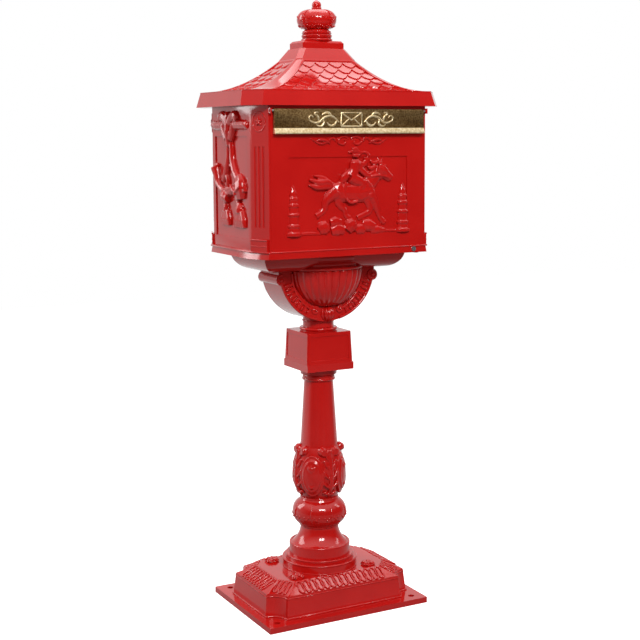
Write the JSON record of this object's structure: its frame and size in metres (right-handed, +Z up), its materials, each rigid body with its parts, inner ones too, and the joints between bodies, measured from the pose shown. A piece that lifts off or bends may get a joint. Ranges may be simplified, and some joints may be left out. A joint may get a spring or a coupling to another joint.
{
  "type": "freestanding mailbox",
  "caption": "Cast pedestal mailbox with a scaled pagoda roof, relief panels, hinged brass mail flap, lockable rear door, fluted bowl bracket, turned post and bolted base.",
  "frame": {"origin": "on the ground under the middle of the post, at the underside of the base plate", "axes": "+Z up, the front with the mail flap faces -Y, +X to the right as seen from the front"},
  "size_m": [0.406, 0.2675, 1.15],
  "materials": {
    "red_paint": "gloss red enamel on cast aluminium",
    "aged_brass": "antiqued brass, bright on the raised edges",
    "bright_steel": "zinc plated",
    "lock_metal": "polished plating"
  },
  "bodies": {
    "frame": {"base_casting": "red_paint", "post_column": "red_paint", "capital_block": "red_paint", "support_bowl": "red_paint", "floor_tray": "red_paint", "front_panel": "red_paint", "left_side": "red_paint", "right_side": "red_paint", "back_panel": "red_paint", "roof_casting": "red_paint", "finial": "red_paint", "finial_stud": "bright_steel", "finial_nut": "bright_steel", "flap_pin": "bright_steel", "door_pin": "bright_steel", "tie_rod": "bright_steel", "tie_rod_nuts": "bright_steel", "tie_rod_washers": "bright_steel", "bowl_screws": "bright_steel", "roof_screws": "bright_steel", "tray_screws": "red_paint", "panel_screws": "bright_steel", "rim_screw": "bright_steel"},
    "flap": {"mail_flap": "aged_brass"},
    "door": {"back_door": "red_paint", "lock_barrel": "lock_metal", "lock_nut": "lock_metal"},
    "lock": {"lock_plug": "lock_metal", "lock_cam": "lock_metal", "cam_screw": "bright_steel"}
  },
  "joints": [
    {"name": "flap_hinge", "type": "hinge", "parent": "frame", "child": "flap", "pos_m": [0, -0.1275, 0.945], "axis": [-1, 0, 0], "range_deg": [0, 80]},
    {"name": "door_hinge", "type": "hinge", "parent": "frame", "child": "door", "pos_m": [0.121, 0.1272, 0.817], "axis": [0, 0, -1], "range_deg": [0, 110]},
    {"name": "lock_turn", "type": "hinge", "parent": "door", "child": "lock", "pos_m": [-0.084, 0.1286, 0.8165], "axis": [0, 1, 0], "range_deg": [0, 90]}
  ]
}
